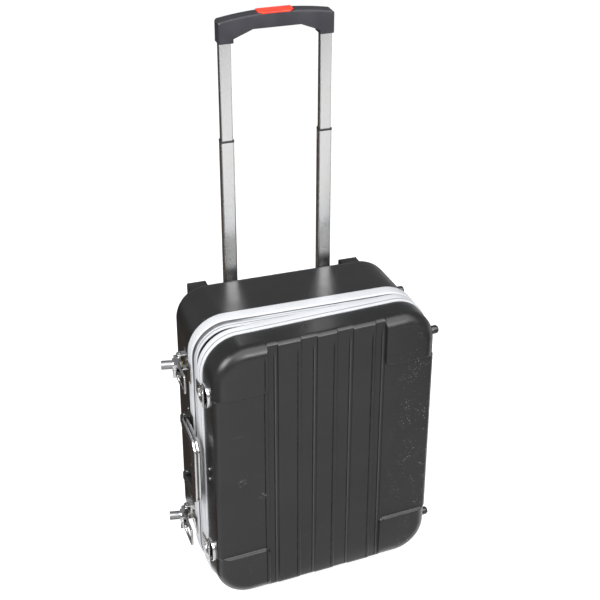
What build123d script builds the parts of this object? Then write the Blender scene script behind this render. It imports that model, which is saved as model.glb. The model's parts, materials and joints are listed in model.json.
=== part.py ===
from build123d import *
import math
import os

# Hard ABS trolley carrying case, double aluminium frame, side-opening lid,
# two key-lock draw latches, folding carry handle, two-stage trolley handle.
# Working frame while modelling: X to the hinge side, -Y to the lid, +Z up,
# Y = 0 on the parting plane between the two frames, Z = 0 on the floor.
# Every part is shifted by SHIFT_X, SHIFT_Y when written, so that the origin
# is on the floor below the middle of the whole object.

# ---- driving dimensions (mm, degrees) ----
SHIFT_X = 12.96
SHIFT_Y = -45.2
CASE_W = 382.0            # outside of the aluminium frame, X
CASE_H = 480.0            # outside of the aluminium frame, Z
CORNER_R = 60.0           # frame corner radius, seen from the front
LIFT = 12.0               # frame bottom above the floor
BAND = 2.4                # thickness of the outer frame bands
BASE_BAND_D = 21.8        # depth of the base frame band
LID_BAND_D = 21.7         # depth of the lid frame band
TONGUE_OUT = 3.6          # tongue, distance inside the frame outline
TONGUE_T = 2.4
TONGUE_L = 17.0           # how far the tongue stands forward of the parting plane
BASE_DEPTH = 149.7
BASE_INSET = 8.7          # draw-in of the base shell at its back
BASE_BACK_R = 28.0
WALL = 3.0
LID_PAD_Y = 69.5          # corner pads
LID_LAND_Y = 64.7         # flat face between the pads
LID_GROOVE_Y = 62.4       # floor of the vertical grooves
LID_INSET = 4.6
LID_AJAR = 4.07           # lid opening at rest
HINGE_X = 197.0
GROOVES = ((16.5, 44.0), (81.5, 99.0))   # |X| ranges of the grooves
PAD_IN_X = 99.5           # inner vertical edge of the pads
PAD_H = 85.0              # pad height from the frame outline
LATCH_DZ = 150.0          # latch height above and below the middle
LATCH_PX, LATCH_PY = -198.0, 47.0   # lever pivot
LATCH_OPEN = 12.0         # lever opening at rest; the bail then hangs parallel to the side
BAIL_X, BAIL_Y, BAIL_LEN = -203.0, 20.0, 44.9   # bail pivot with the lever closed
BAIL_R = 2.1
LOCK_Y = 37.5             # key lock centre with the lever closed
HANDLE_PX, HANDLE_PY = -202.0, 18.0
BAR_X = 80.9              # trolley bar centres
BAR_Y = 161.1
OUTER_TUBE = (25.0, 19.4)
MID_TUBE = (22.0, 16.4)
UPPER_TUBE = (19.6, 14.0)
MID_TOP = 719.0
GRIP_BOTTOM = 877.0
GRIP_TOP_END = 911.0
GRIP_TOP_MID = 919.5
GRIP_Y0, GRIP_Y1 = 149.5, 174.0
BUTTON_TRAVEL = 4.0
WHEEL_R, WHEEL_W = 25.0, 26.0
WHEEL_X, WHEEL_Y = 137.0, 143.0

ZM = LIFT + CASE_H / 2    # mid height
parts = {}


def bx(x0, x1, y0, y1, z0, z1):
    return Pos((x0 + x1) / 2, (y0 + y1) / 2, (z0 + z1) / 2) * Box(abs(x1 - x0), abs(y1 - y0), abs(z1 - z0))


def cyl_x(x0, x1, y, z, r):
    return Pos((x0 + x1) / 2, y, z) * Rot(0, 90, 0) * Cylinder(r, abs(x1 - x0))


def cyl_y(x, y0, y1, z, r):
    return Pos(x, (y0 + y1) / 2, z) * Rot(90, 0, 0) * Cylinder(r, abs(y1 - y0))


def cyl_z(x, y, z0, z1, r):
    return Pos(x, y, (z0 + z1) / 2) * Cylinder(r, abs(z1 - z0))


def outline(offset, y0, y1, taper=0.0):
    """Rounded-rectangle prism of the case outline drawn in by offset, from y0 to y1."""
    direction = 1 if y1 > y0 else -1
    plane = Plane(origin=(0, y0, ZM), x_dir=(1, 0, 0), z_dir=(0, direction, 0))
    face = plane * RectangleRounded(CASE_W - 2 * offset, CASE_H - 2 * offset, CORNER_R - offset)
    return extrude(face, amount=abs(y1 - y0), taper=taper)


def ring(o_out, o_in, y0, y1):
    return outline(o_out, y0, y1) - outline(o_in, y0, y1)


def prism_z(points, z0, z1):
    """Polygon in XY pulled along Z."""
    face = Pos(0, 0, z0) * make_face(Polyline(*[(x, y, 0) for x, y in points], close=True))
    return extrude(face, amount=z1 - z0, dir=(0, 0, 1))


def prism_y(points, y0, y1):
    """Polygon in XZ pulled along Y."""
    face = make_face(Polyline(*[(x, y0, z) for x, z in points], close=True))
    return extrude(face, amount=y1 - y0, dir=(0, 1, 0))


def prism_x(points, x0, x1):
    """Polygon in YZ pulled along X."""
    face = make_face(Polyline(*[(x0, y, z) for y, z in points], close=True))
    return extrude(face, amount=x1 - x0, dir=(1, 0, 0))


def turned(shape, x, y, angle):
    """Turn about the vertical line through x, y."""
    return Pos(x, y, 0) * Rot(0, 0, angle) * Pos(-x, -y, 0) * shape


def group(*shapes):
    solids = []
    for s in shapes:
        solids += list(s.solids())
    return Compound(children=solids)


def mirror_x(shape):
    return mirror(shape, about=Plane.YZ)


def mirror_mid(shape):
    return mirror(shape, about=Plane(origin=(0, 0, ZM), z_dir=(0, 0, 1)))


def lid_pose(shape):
    return turned(shape, HINGE_X, 0, LID_AJAR)


# ---- base shell and frame ----
base_taper = math.degrees(math.atan((BASE_INSET - BAND) / (BASE_DEPTH - 2.0)))
base_slope = math.tan(math.radians(base_taper))


def base_side_x(y):
    """X of the base shell's left side at depth y."""
    return -(CASE_W / 2 - BAND - (y - 2.0) * base_slope)


base_outer = outline(BAND, 2.0, BASE_DEPTH, base_taper)
back_edges = base_outer.faces().sort_by(Axis.Y)[-1].edges()
base_outer = fillet(back_edges, BASE_BACK_R)
base_inner = outline(BAND + WALL, 2.0, BASE_DEPTH - WALL, base_taper)
base_inner = fillet(base_inner.faces().sort_by(Axis.Y)[-1].edges(), BASE_BACK_R - WALL)
wheel_notch = bx(118, 156, 112, 200, 0, 62)
notches = [wheel_notch, mirror_x(wheel_notch)]
base_shell = base_outer - base_inner
for n in notches:
    base_shell = base_shell - n
parts["base_shell"] = base_shell

base_frame = (ring(0.0, BAND, 0.0, BASE_BAND_D)
              + ring(0.0, TONGUE_OUT + TONGUE_T, 0.0, 2.0)
              + ring(TONGUE_OUT, TONGUE_OUT + TONGUE_T, -TONGUE_L, 2.0))
parts["base_frame"] = base_frame

# ---- lid shell and frame (drawn closed, then turned to the rest opening) ----
LID_Y0 = -(LID_BAND_D - 1.5)
lid_taper = math.degrees(math.atan((LID_INSET - BAND + 0.0) / (LID_PAD_Y + LID_Y0)))


def lid_body(front_y, radius, offset=BAND):
    body = outline(offset, LID_Y0, -front_y, lid_taper)
    return fillet(body.faces().sort_by(Axis.Y)[0].edges(), radius)


lid_land = lid_body(LID_LAND_Y, 9.0)
lid_pad = lid_body(LID_PAD_Y, 15.0)
lid_floor = lid_body(LID_GROOVE_Y, 6.0)
lid_solid = lid_land
for lo, hi in GROOVES:
    for side in (-1, 1):
        x0, x1 = sorted((side * lo, side * hi))
        strip = bx(x0, x1, -80, -50, 0, 520)
        lid_solid = lid_solid - (strip - lid_floor)
top, side_x = LIFT + CASE_H, CASE_W / 2
pad_box = bx(PAD_IN_X, side_x + 5, -80, -40, top - PAD_H, top + 5)
pad_box = fillet(pad_box.edges().filter_by(Axis.Y).sort_by_distance((PAD_IN_X, -60, top - PAD_H))[0], 6.0)
pad_box = lid_pad & pad_box
pads = [pad_box, mirror_x(pad_box), mirror_mid(pad_box), mirror_mid(mirror_x(pad_box))]
for p in pads:
    lid_solid = lid_solid + p
lid_cavity = outline(BAND + WALL, LID_Y0, -(LID_GROOVE_Y - WALL), lid_taper)
lid_cavity = fillet(lid_cavity.faces().sort_by(Axis.Y)[0].edges(), 6.0)
lid_shell = lid_solid - lid_cavity
parts["lid_shell"] = lid_pose(lid_shell)

lid_frame = (ring(0.0, BAND, -0.3, -LID_BAND_D)
             + ring(0.0, 9.0, LID_Y0 + 1.6, LID_Y0))
lid_frame = lid_frame - ring(-1.0, 0.55, -15.4, -16.3)
parts["lid_frame"] = lid_pose(lid_frame)
parts["lid_seal"] = lid_pose(ring(TONGUE_OUT, TONGUE_OUT + TONGUE_T + 0.4, LID_Y0 + 1.6, -TONGUE_L - 0.45))

# ---- foam liners ----
foam = outline(BAND + WALL + 0.6, 5.0, BASE_DEPTH - WALL - 0.6, base_taper)
foam = fillet(foam.faces().sort_by(Axis.Y)[-1].edges(), BASE_BACK_R - WALL)
for n in (bx(117, 157, 110, 200, 0, 63.5), bx(-157, -117, 110, 200, 0, 63.5)):
    foam = foam - n
DRONE = (-4.0, 346.0)     # middle of the aircraft bay, X and Z
foam = foam - bx(DRONE[0] - 62, DRONE[0] + 62, 0, 105, DRONE[1] - 104, DRONE[1] + 104)
for dz in (-62, 62):      # cross slots for the arms and motors
    foam = foam - bx(DRONE[0] - 152, DRONE[0] + 152, 0, 78, DRONE[1] + dz - 25, DRONE[1] + dz + 25)
foam = foam - bx(-150, 22, 0, 85, 52, 168)            # transmitter bay
foam = foam - bx(-96, -32, 0, 85, 160, 190)           # finger hollow above it
for x in (44.0, 88.0, 132.0):
    foam = foam - bx(x, x + 32, 0, 90, 66, 168)       # battery bays
parts["base_foam"] = foam

lid_foam = outline(13.0, -(LID_GROOVE_Y - WALL - 0.6), -16.0)
parts["lid_foam"] = lid_pose(lid_foam)

# ---- hinges on the right side ----
HINGE_Z = (ZM - 130.0, ZM, ZM + 130.0)
base_leaves, lid_leaves, pins = [], [], []
for hz in HINGE_Z:
    leaf_b = bx(side_x, side_x + 1.8, 1.2, 20.5, hz - 30, hz + 30)
    leaf_l = bx(side_x, side_x + 1.8, -20.5, -1.2, hz - 30, hz + 30)
    n, step, gap = 5, 12.0, 0.25
    for i in range(n):
        z0, z1 = hz - 30 + i * step + gap, hz - 30 + (i + 1) * step - gap
        tube = cyl_z(HINGE_X, 0, z0, z1, 3.9)
        if i % 2 == 0:
            leaf_b = leaf_b + (tube + bx(side_x, HINGE_X, 1.2, 3.9, z0, z1)) - cyl_z(HINGE_X, 0, z0 - 1, z1 + 1, 1.6)
        else:
            leaf_l = leaf_l + (tube + bx(side_x, HINGE_X, -3.9, -1.2, z0, z1)) - cyl_z(HINGE_X, 0, z0 - 1, z1 + 1, 1.66)
    base_leaves.append(leaf_b)
    lid_leaves.append(leaf_l)
    pins.append(cyl_z(HINGE_X, 0, hz - 31, hz + 31, 1.6))
parts["hinge_leaves_base"] = group(*base_leaves)
parts["hinge_leaves_lid"] = lid_pose(group(*lid_leaves))
parts["hinge_pins"] = group(*pins)

# ---- frame rivets ----
rivets = []
for (sx, sz) in ((1, 1), (-1, 1), (1, -1), (-1, -1)):
    a = math.radians(58)
    cx, cz = sx * (side_x - CORNER_R), ZM + sz * (CASE_H / 2 - CORNER_R)
    dx, dz = sx * math.cos(a), sz * math.sin(a)
    r0, r1 = CORNER_R - BAND - 1.0, CORNER_R + 0.9
    c = Vector(cx + dx * (r0 + r1) / 2, 24.6, cz + dz * (r0 + r1) / 2)
    rivets.append(Plane(origin=c, z_dir=(dx, 0, dz)) * Cylinder(2.6, r1 - r0) - base_outer)
parts["frame_rivets"] = group(*rivets)

# side feet, on the hinge side, for standing the case on that side
feet = []
for z in (LIFT + 423, LIFT + 57):
    foot = cyl_x(180, 200.2, 96, z, 7.0) + Pos(200.2, 96, z) * Rot(0, 90, 0) * Cylinder(5.6, 3.6)
    feet.append(foot - base_outer)
parts["side_feet_base"] = group(*feet)
feet = []
for z in (LIFT + 423, LIFT + 57):
    foot = cyl_x(180, 200.2, -41, z, 7.0) + Pos(200.2, -41, z) * Rot(0, 90, 0) * Cylinder(5.6, 3.6)
    feet.append(foot - lid_land)
parts["side_feet_lid"] = lid_pose(group(*feet))


# ---- latches ----
def latch_at(zc):
    px, py = LATCH_PX, LATCH_PY
    s22, s30, s60 = base_side_x(22.0), base_side_x(30.0), base_side_x(60.0)
    plate = prism_z([(-191.0, 1.5), (-193.0, 1.5), (-193.0, 23.5), (s30 - 2.1, 30.0), (s60 - 2.1, 60.0),
                     (s60 - 0.1, 60.0), (s30 - 0.1, 30.0), (s22 - 0.1, 22.1), (-191.0, 22.1)], zc - 17, zc + 17)
    plate = plate - bx(-200, -180, LOCK_Y - 7.0, LOCK_Y + 7.0, zc - 7.5, zc + 7.5)
    for w in (-1, 1):
        z0, z1 = sorted((zc + w * 12.2, zc + w * 14.4))
        ear = bx(px, s60 - 1.0, py - 6, py + 6, z0, z1) + cyl_z(px, py, z0, z1, 6.0)
        plate = plate + ear
    plate = plate - cyl_z(px, py, zc - 20, zc + 20, 2.0)
    pin = cyl_z(px, py, zc - 15.4, zc + 15.4, 2.0)
    # lever, drawn closed: a deep channel lying along -Y, open towards the case
    lever = bx(-208.4, -206.0, 16.0, 47.0, zc - 11.6, zc + 11.6) + cyl_z(px, py, zc - 11.6, zc + 11.6, 4.4)
    cheek = [(-208.4, 16.0), (-208.4, 47.0), (-200.4, 50.6), (-195.6, 50.6), (-193.9, 45.6), (-197.4, 39.0),
             (-197.8, 24.0), (-198.6, 16.0)]
    for w in (-1, 1):
        z0, z1 = sorted((zc + w * 9.5, zc + w * 11.6))
        lever = lever + prism_z(cheek, z0, z1)
    lever = lever + bx(-210.6, -208.4, 16.0, 20.5, zc - 11.6, zc + 11.6)              # finger lip
    lever = lever + cyl_x(-211.0, -204.8, LOCK_Y, zc, 10.4)                           # boss
    lever = lever - cyl_z(px, py, zc - 13, zc + 13, 2.05)
    lever = lever - cyl_x(-214, px + 8, LOCK_Y, zc, 7.2)
    lever = lever - cyl_z(BAIL_X, BAIL_Y, zc - 13, zc + 13, BAIL_R + 0.05)
    barrel = cyl_x(-228.4, -195.6, LOCK_Y, zc, 7.2) - cyl_x(-232, -190, LOCK_Y, zc, 5.0)
    plug = (cyl_x(-227.8, -195.3, LOCK_Y, zc, 4.95)
            + cyl_x(-195.3, -193.6, LOCK_Y, zc, 3.2)
            + bx(-195.3, -193.6, LOCK_Y - 3, LOCK_Y + 3, zc - 3.2, zc + 6.4))
    plug = plug - bx(-236, -219, LOCK_Y - 0.7, LOCK_Y + 0.7, zc - 3.4, zc + 3.4)
    # bail: pivot stubs in the lever cheeks, two side wires and a cross wire
    r = BAIL_R
    bail = Part()
    for w in (-1, 1):
        z0, z1 = sorted((zc + w * 8.6, zc + w * 14.1))
        zz = zc + w * 14.1
        bail = bail + cyl_z(BAIL_X, BAIL_Y, z0, z1, r) + Pos(BAIL_X, BAIL_Y, zz) * Sphere(r)
        bail = bail + cyl_y(BAIL_X, BAIL_Y - BAIL_LEN, BAIL_Y, zz, r) + Pos(BAIL_X, BAIL_Y - BAIL_LEN, zz) * Sphere(r)
    bail = bail + cyl_z(BAIL_X, BAIL_Y - BAIL_LEN, zc - 14.1, zc + 14.1, r)
    # strike on the lid, drawn closed
    strike = prism_x([(-1.4, zc + 12.5), (-21.4, zc + 15.5), (-21.4, zc - 21.0), (-1.4, zc - 9.0)], -193.1, -191.0)
    strike = strike + bx(-197.0, -192.5, -22.1, -19.7, zc - 7, zc + 7)
    tab = prism_z([(-189.2, -22.0), (-191.0, -22.0), (-191.0, -19.7), (-193.1, -19.7), (-193.1, -22.1), (-191.6, -29.5), (-191.9, -33.0),
                   (-197.2, -44.0), (-195.7, -44.8), (-190.0, -34.0), (-189.2, -29.0)], zc - 15, zc + 15)
    strike = strike + tab
    strike = strike - lid_land
    opened = lambda s: turned(s, px, py, -LATCH_OPEN)
    bail_open = turned(bail, BAIL_X, BAIL_Y, LATCH_OPEN)
    return plate, pin, opened(lever), opened(barrel), opened(plug), opened(bail_open), lid_pose(strike)


for name, dz in (("upper", LATCH_DZ), ("lower", -LATCH_DZ)):
    plate, pin, lever, barrel, plug, bail, strike = latch_at(ZM + dz)
    parts[name + "_latch_plate"] = plate
    parts[name + "_latch_pin"] = pin
    parts[name + "_latch_lever"] = lever
    parts[name + "_lock_barrel"] = barrel
    parts[name + "_lock_plug"] = plug
    parts[name + "_latch_bail"] = bail
    parts[name + "_strike"] = strike

# rivets in the lid's left side
lid_riv = []
for z in (LIFT + 256, LIFT + 237):
    lid_riv.append(cyl_x(-190.2, -180, -40, z, 2.3) - lid_land)
parts["lid_rivets"] = lid_pose(group(*lid_riv))

# ---- carry handle on the left side, folded forward at rest ----
hp = (HANDLE_PX, HANDLE_PY)
plan = Plane(origin=(-208.0, 0, ZM), x_dir=(0, 1, 0), z_dir=(1, 0, 0))   # local x = Y, local y = Z
outer_pts = [(26, 64), (26, -64), (-46, -60), (-60, -46), (-60, 46), (-46, 60)]
inner_pts = [(40, 49), (40, -49), (6, -48.8), (-26, -45), (-36, -36), (-36, 36), (-26, 45), (6, 48.8)]
handle = extrude(plan * make_face(Polyline(*outer_pts, close=True)), amount=11.5)
handle = handle - extrude(plan * make_face(Polyline(*inner_pts, close=True)), amount=11.5)
handle = fillet(handle.edges().filter_by(Plane.YZ).filter_by(lambda e: e.length > 14.5), 3.2)
handle = handle - cyl_z(hp[0], hp[1], ZM - 80, ZM + 80, 2.56)
parts["carry_handle"] = handle

brackets, hpins, hscrews = [], [], []
for w in (-1, 1):
    zc = ZM + w * 56.5
    s22, s30, s44 = base_side_x(22.0), base_side_x(30.0), base_side_x(46.0)
    plate = prism_z([(-191.0, 3.0), (-193.0, 3.0), (-193.0, 23.5), (s30 - 2.1, 30.0), (s44 - 2.1, 46.0),
                     (s44 - 0.1, 46.0), (s30 - 0.1, 30.0), (s22 - 0.1, 22.1), (-191.0, 22.1)], zc - 13, zc + 13)
    for q in (-1, 1):
        z0, z1 = sorted((zc + q * 8.4, zc + q * 11.4))
        plate = plate + bx(-202, -192.5, 12.5, 23.5, z0, z1) + cyl_z(hp[0], hp[1], z0, z1, 5.5)
    plate = plate - cyl_z(hp[0], hp[1], zc - 20, zc + 20, 2.5)
    brackets.append(plate)
    hpins.append(cyl_z(hp[0], hp[1], zc - 12.4, zc + 12.4, 2.5))
    for q in (-1, 1):
        hscrews.append(cyl_x(s44 - 4.2, s44 - 1.6, 38, zc + q * 7, 2.6))
parts["handle_brackets"] = group(*brackets)
parts["handle_pins"] = group(*hpins)
parts["handle_screws"] = group(*[s - group(*brackets) for s in hscrews])


# ---- trolley ----
def tube(section, wall, x, z0, z1):
    w, d = section
    ro = 3.2
    outer = extrude(Pos(x, BAR_Y, z0) * RectangleRounded(w, d, ro), amount=z1 - z0)
    inner = extrude(Pos(x, BAR_Y, z0 - 1) * RectangleRounded(w - 2 * wall, d - 2 * wall, ro - wall), amount=z1 - z0 + 2)
    return outer - inner


def slug(w, d, r, x, z0, z1):
    return extrude(Pos(x, BAR_Y, z0) * RectangleRounded(w, d, r), amount=z1 - z0)


OUT_Z0, OUT_Z1 = 38.0, 444.0
MID_LEN, MID_TRAVEL, UP_TRAVEL = 430.0, 245.0, 152.0
outer_tubes, mid_tubes, collars, upper_tubes, rods = [], [], [], [], []
for s in (-1, 1):
    x = s * BAR_X
    outer_tubes.append(tube(OUTER_TUBE, 1.2, x, OUT_Z0, OUT_Z1))
    mid = tube(MID_TUBE, 0.9, x, MID_TOP - MID_LEN, MID_TOP - 3.0)
    mid = mid - cyl_x(x - s * 4, x - s * 14, BAR_Y, LIFT + 588, 2.6)
    mid = mid - bx(x - 12.0, x - 9.6, BAR_Y - 0.4, BAR_Y + 2.8, MID_TOP - 16.0, MID_TOP - 6.5)   # clip slot
    mid_tubes.append(mid)
    collar = slug(MID_TUBE[0] + 0.5, MID_TUBE[1] + 0.5, 3.3, x, MID_TOP - 3.0, MID_TOP)
    collar = collar - slug(UPPER_TUBE[0] + 0.6, UPPER_TUBE[1] + 0.6, 3.4, x, MID_TOP - 4, MID_TOP + 1)
    collars.append(collar)
    up = tube(UPPER_TUBE, 0.9, x, 620.0, 899.0)
    upper_tubes.append(up)
    rods.append(cyl_z(x, BAR_Y, 632.0, 903.5, 2.4))
parts["trolley_outer_tubes"] = group(*outer_tubes)
parts["trolley_mid_tubes"] = group(*mid_tubes)
parts["trolley_collars"] = group(*collars)
parts["trolley_upper_tubes"] = group(*upper_tubes)

top_bracket = bx(-98, 98, BASE_DEPTH, 174.6, 424, 448)
top_bracket = fillet(top_bracket.edges().filter_by(Axis.Z).group_by(Axis.Y)[-1], 6.0)
bottom_bracket = bx(-98, 98, BASE_DEPTH, 174.6, 34, 62)
bottom_bracket = fillet(bottom_bracket.edges().filter_by(Axis.Z).group_by(Axis.Y)[-1], 6.0)
for s in (-1, 1):
    x = s * BAR_X
    top_bracket = top_bracket - slug(OUTER_TUBE[0], OUTER_TUBE[1], 3.2, x, 420, OUT_Z1)
    top_bracket = top_bracket - slug(MID_TUBE[0] + 0.6, MID_TUBE[1] + 0.6, 3.5, x, 440, 460)
    bottom_bracket = bottom_bracket - slug(OUTER_TUBE[0], OUTER_TUBE[1], 3.2, x, OUT_Z0, 80)
top_bracket = top_bracket - bx(-62, 62, 160, 180, 420, 460)
bottom_bracket = bottom_bracket - bx(-62, 62, 160, 180, 20, 80)
parts["trolley_top_bracket"] = top_bracket
parts["trolley_bottom_bracket"] = bottom_bracket
screws = []
for z in (436, 48):
    for x in (-48, 0, 48):
        screws.append(cyl_y(x, 160, 162.2, z, 4.0))
parts["trolley_screws"] = group(*screws)

# grip: profile in XZ with an arched top, split into a front and a rear half
arc_top = ThreePointArc((-92, 0, GRIP_TOP_END), (0, 0, GRIP_TOP_MID), (92, 0, GRIP_TOP_END))
under = Polyline((92, 0, GRIP_TOP_END), (92, 0, GRIP_BOTTOM), (69, 0, GRIP_BOTTOM), (69, 0, GRIP_BOTTOM + 6.5),
                 (38, 0, GRIP_BOTTOM + 19), (-38, 0, GRIP_BOTTOM + 19), (-69, 0, GRIP_BOTTOM + 6.5),
                 (-69, 0, GRIP_BOTTOM), (-92, 0, GRIP_BOTTOM), (-92, 0, GRIP_TOP_END))
profile = make_face([arc_top, under])
grip = extrude(Pos(0, GRIP_Y0, 0) * profile, amount=GRIP_Y1 - GRIP_Y0, dir=(0, 1, 0))
grip = fillet(grip.edges().filter_by(Axis.Y).filter_by(lambda e: e.center().Z > 900), 5.0)
grip = chamfer(grip.faces().sort_by(Axis.Y)[0].edges().sort_by(Axis.Z)[-1], 2.2)
grip = chamfer(grip.faces().sort_by(Axis.Y)[-1].edges().sort_by(Axis.Z)[-1], 2.2)
for s in (-1, 1):
    grip = grip - slug(UPPER_TUBE[0], UPPER_TUBE[1], 3.2, s * BAR_X, 870, 899)
    grip = grip - cyl_z(s * BAR_X, BAR_Y, 890, 908.8, 3.6)
# release channel: rods, cross bar and the button well
grip = grip - bx(-84.6, 84.6, BAR_Y - 3.6, BAR_Y + 3.6, 899.4, 908.8)
grip = grip - prism_z([(-28.4, 172.4), (28.4, 172.4), (28.4, 157.3), (21.7, 151.3), (-21.7, 151.3), (-28.4, 157.3)], 911.6, 935)
grip = grip - prism_z([(-28.4, 180), (28.4, 180), (28.4, 155.6), (21.4, 145), (-21.4, 145), (-28.4, 155.6)], 917.4, 935)
grip = grip - bx(-14, 14, BAR_Y - 5.4, BAR_Y + 5.4, 899.4, 925)
parts["grip_front"] = grip & bx(-100, 100, 140, BAR_Y + 0.4, 850, 950)
parts["grip_rear"] = grip & bx(-100, 100, BAR_Y + 0.4, 190, 850, 950)
gscrews = []
for x in (-BAR_X, BAR_X, -46, 46):
    z = 888 if abs(x) > 60 else 904
    gscrews.append(cyl_y(x, GRIP_Y1, GRIP_Y1 + 0.9, z, 2.8))
parts["grip_screws"] = group(*gscrews)

button = prism_z([(-28, 172.1), (28, 172.1), (28, 157.5), (21.5, 151.6), (-21.5, 151.6), (-28, 157.5)], 915.9, 920.6)
button = button - prism_x([(164.0, 920.6), (164.0, 925.0), (150.0, 925.0), (150.0, 919.2)], -40, 40)   # front half slopes down
button = chamfer(button.edges().filter_by(lambda e: e.center().Z > 919.0 and abs(e.center().Y - 164.0) > 0.5
                                          and not (abs(e.center().X) < 1 and e.center().Y > 160 and e.center().Y < 168)), 0.7)
button = button + bx(-13.5, 13.5, BAR_Y - 4.9, BAR_Y + 4.9, 907.6, 917.5)
pocket = cyl_z(0, BAR_Y, 899.0, 914.0, 4.0)
parts["release_button"] = button - pocket
yoke = bx(-84, 84, BAR_Y - 3.1, BAR_Y + 3.1, 903.5, 907.6)
for rod in rods:
    yoke = yoke + rod
parts["release_yoke"] = yoke - cyl_z(0, BAR_Y, 899.0, 914.0, 4.0)
# return spring under the button, drawn as a plain sleeve
spring = cyl_z(0, BAR_Y, 899.4, 914.0, 3.4) - cyl_z(0, BAR_Y, 899, 915, 2.3)
parts["button_spring"] = spring

# ---- rear skids, wheels, front feet ----
skid = bx(118, 149, 138, 186, 407, 463)
skid = fillet(skid.edges().filter_by(Axis.X).sort_by(Axis.Y)[-2:], 5.0)
skid = skid - base_outer
skid = max(skid.solids(), key=lambda s: s.center().Y)
parts["rear_skids"] = group(skid, mirror_x(skid))

housings, axles = [], []
for s in (-1, 1):
    h = bx(118, 156, 112, 150, 14.6, 62)
    h = fillet(h.edges().filter_by(Axis.X).sort_by_distance((137, 150, 14.6))[0], 10.0)
    cheeks = cyl_x(118, 156, WHEEL_Y, WHEEL_R, 11.0)
    h = h + cheeks - bx(120.5, 153.5, 114.5, 200, -5, 59.5)
    h = h - cyl_x(110, 160, WHEEL_Y, WHEEL_R, 3.0)
    a = cyl_x(117, 157, WHEEL_Y, WHEEL_R, 3.0)
    if s < 0:
        h, a = mirror_x(h), mirror_x(a)
    housings.append(h)
    axles.append(a)
parts["wheel_housings"] = group(*housings)
parts["wheel_axles"] = group(*axles)
for name, s in (("left", -1), ("right", 1)):
    xc = s * WHEEL_X
    tyre = cyl_x(xc - WHEEL_W / 2, xc + WHEEL_W / 2, WHEEL_Y, WHEEL_R, WHEEL_R)
    tyre = fillet(tyre.edges().filter_by(GeomType.CIRCLE), 4.0)
    tyre = tyre - cyl_x(xc - 20, xc + 20, WHEEL_Y, WHEEL_R, 18.0)
    hub = cyl_x(xc - WHEEL_W / 2 + 1, xc + WHEEL_W / 2 - 1, WHEEL_Y, WHEEL_R, 18.0)
    for q in (-1, 1):
        xf = xc + q * (WHEEL_W / 2 - 1)
        x0, x1 = sorted((xf, xf - q * 3.5))
        hub = hub - (cyl_x(x0, x1, WHEEL_Y, WHEEL_R, 15.0) - cyl_x(x0, x1, WHEEL_Y, WHEEL_R, 6.5))
    hub = hub - cyl_x(xc - 20, xc + 20, WHEEL_Y, WHEEL_R, 3.05)
    parts[name + "_tyre"] = tyre
    parts[name + "_hub"] = hub

ffeet = []
for s in (-1, 1):
    f = bx(s * 118 - 16, s * 118 + 16, 2.5, 21.0, 0, LIFT)
    f = fillet(f.edges().filter_by(Axis.Z), 6.0)
    f = chamfer(f.faces().sort_by(Axis.Z)[0].edges(), 1.2)
    ffeet.append(f)
parts["front_feet"] = group(*ffeet)

os.makedirs("parts", exist_ok=True)
for name, shape in parts.items():
    shifted = Pos(SHIFT_X, SHIFT_Y, 0) * shape
    solids = shifted.solids()
    out = solids[0] if len(solids) == 1 else Compound(children=list(solids))
    export_step(out, f"parts/{name}.step")
    print(name, len(solids), round(sum(s.volume for s in solids)))
boxes = [Pos(SHIFT_X, SHIFT_Y, 0) * s for s in parts.values()]
lo = [min(getattr(b.bounding_box().min, c) for b in boxes) for c in "XYZ"]
hi = [max(getattr(b.bounding_box().max, c) for b in boxes) for c in "XYZ"]
print("low", [round(v, 2) for v in lo], "high", [round(v, 2) for v in hi], "centre", [round((a + b) / 2, 2) for a, b in zip(lo, hi)])
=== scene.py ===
import json
import math

import bmesh
import bpy
import numpy as np
from mathutils import Matrix, Vector, noise


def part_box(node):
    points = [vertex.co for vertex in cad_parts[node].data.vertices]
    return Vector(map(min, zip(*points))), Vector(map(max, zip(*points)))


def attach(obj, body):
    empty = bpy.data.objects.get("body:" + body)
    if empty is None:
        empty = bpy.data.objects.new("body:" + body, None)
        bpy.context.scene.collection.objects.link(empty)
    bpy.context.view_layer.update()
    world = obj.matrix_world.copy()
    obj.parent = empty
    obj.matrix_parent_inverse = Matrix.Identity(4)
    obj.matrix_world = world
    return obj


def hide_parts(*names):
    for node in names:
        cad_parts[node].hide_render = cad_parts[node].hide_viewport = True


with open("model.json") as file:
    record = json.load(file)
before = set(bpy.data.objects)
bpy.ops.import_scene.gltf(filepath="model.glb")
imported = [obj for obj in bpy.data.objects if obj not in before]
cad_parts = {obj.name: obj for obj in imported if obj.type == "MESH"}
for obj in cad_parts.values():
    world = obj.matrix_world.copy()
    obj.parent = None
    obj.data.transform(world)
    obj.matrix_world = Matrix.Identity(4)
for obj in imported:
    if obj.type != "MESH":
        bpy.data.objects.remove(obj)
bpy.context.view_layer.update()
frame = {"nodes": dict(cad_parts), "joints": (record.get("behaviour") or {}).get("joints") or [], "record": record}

# ---------------------------------------------------------------- frame numbers
JOINTS = {j["name"]: j for j in frame["joints"]}
f0, f1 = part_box("base_frame")
XC, ZC = (f0.x + f1.x) / 2, (f0.z + f1.z) / 2
Y0 = f1.y - 0.0218                       # parting plane between the two frames
HALF_W, HALF_H = (f1.x - f0.x) * 500, (f1.z - f0.z) * 500   # mm
CORNER = 60.0
HINGE = Vector(JOINTS["lid_hinge"]["pos_m"])
AJAR = -math.radians(JOINTS["lid_hinge"]["range_deg"][0])
LID = Matrix.Translation(HINGE) @ Matrix.Rotation(AJAR, 4, "Z") @ Matrix.Translation(-HINGE)


def P(x, y, z):
    """Case coordinates in mm (middle of the width, parting plane, middle of the height) to metres in the frame."""
    return Vector((XC + x / 1000, Y0 + y / 1000, ZC + z / 1000))


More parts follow.
